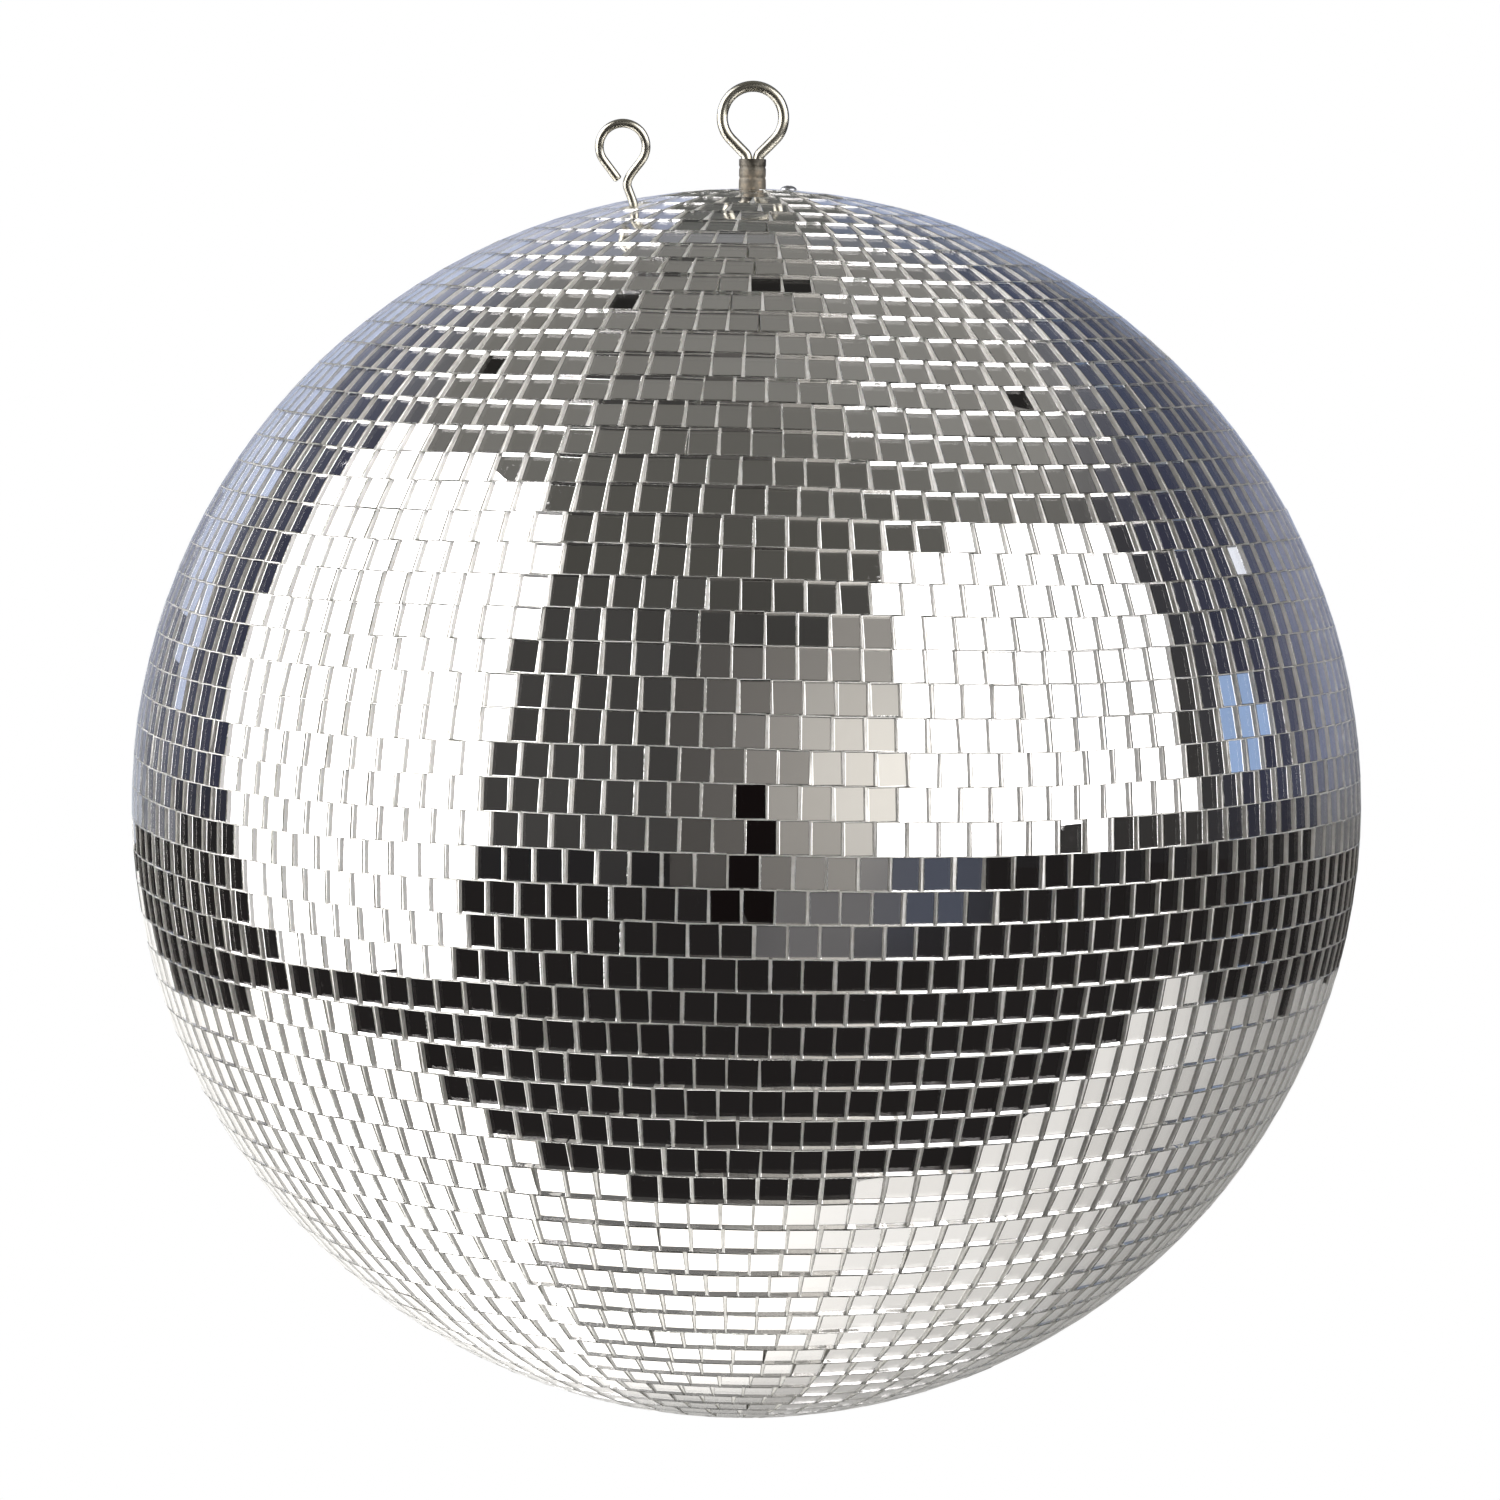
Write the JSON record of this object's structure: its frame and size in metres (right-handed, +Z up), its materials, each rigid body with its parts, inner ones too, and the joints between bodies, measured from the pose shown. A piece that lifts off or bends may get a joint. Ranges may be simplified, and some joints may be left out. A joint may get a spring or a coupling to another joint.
{
  "type": "mirror ball",
  "caption": "Hollow ball covered in rows of small square mirror tiles, hung from a crimped wire eye it turns on, with an open safety eye beside it.",
  "frame": {"origin": "the hook's seat, inside the top of the hanging eye", "axes": "+Z up along the axis the ball turns on, +X to the right and -Y towards the viewer of the hanging eye's loop"},
  "size_m": [0.3998, 0.3998, 0.4343],
  "materials": {
    "mirror_tiles": "polished mirror",
    "core_plastic": "matt off-white",
    "plated_wire": "bright plated wire",
    "ferrule_steel": "dull crimped steel",
    "brass": "turned brass",
    "zinc_steel": "zinc plated"
  },
  "bodies": {
    "hanger": {"hanging_eye": "plated_wire", "eye_ferrule": "ferrule_steel", "hanger_shank": "zinc_steel", "swivel_washer": "brass", "lock_nut": "zinc_steel", "jam_nut": "zinc_steel"},
    "ball": {"core_upper_half": "core_plastic", "core_lower_half": "core_plastic", "core_joint_ring": "core_plastic", "load_plate": "zinc_steel", "pole_bush": "brass", "locating_screw": "zinc_steel", "locating_nut": "zinc_steel", "safety_washer": "zinc_steel", "bottom_tile": "mirror_tiles", "tile_band_01": "mirror_tiles", "tile_band_02": "mirror_tiles", "tile_band_03": "mirror_tiles", "tile_band_04": "mirror_tiles", "tile_band_05": "mirror_tiles", "tile_band_06": "mirror_tiles", "tile_band_07": "mirror_tiles", "tile_band_08": "mirror_tiles", "tile_band_09": "mirror_tiles", "tile_band_10": "mirror_tiles", "tile_band_11": "mirror_tiles", "tile_band_12": "mirror_tiles", "tile_band_13": "mirror_tiles", "tile_band_14": "mirror_tiles", "tile_band_15": "mirror_tiles", "tile_band_16": "mirror_tiles", "tile_band_17": "mirror_tiles", "tile_band_18": "mirror_tiles", "tile_band_19": "mirror_tiles", "tile_band_20": "mirror_tiles", "tile_band_21": "mirror_tiles", "tile_band_22": "mirror_tiles", "tile_band_23": "mirror_tiles", "tile_band_24": "mirror_tiles", "tile_band_25": "mirror_tiles", "tile_band_26": "mirror_tiles", "tile_band_27": "mirror_tiles", "tile_band_28": "mirror_tiles", "tile_band_29": "mirror_tiles", "tile_band_30": "mirror_tiles", "tile_band_31": "mirror_tiles"},
    "safety_eye": {"safety_eye": "plated_wire", "safety_nut": "zinc_steel"}
  },
  "joints": [
    {"name": "ball_spin", "type": "hinge", "parent": "hanger", "child": "ball", "pos_m": [0, 0, 0], "axis": [0, 0, 1], "continuous": true},
    {"name": "safety_eye_turn", "type": "hinge", "parent": "ball", "child": "safety_eye", "pos_m": [-0.0375, -0.033, -0.03724], "axis": [-0.1875, -0.165, 0.9683], "range_deg": [-180, 180]}
  ]
}
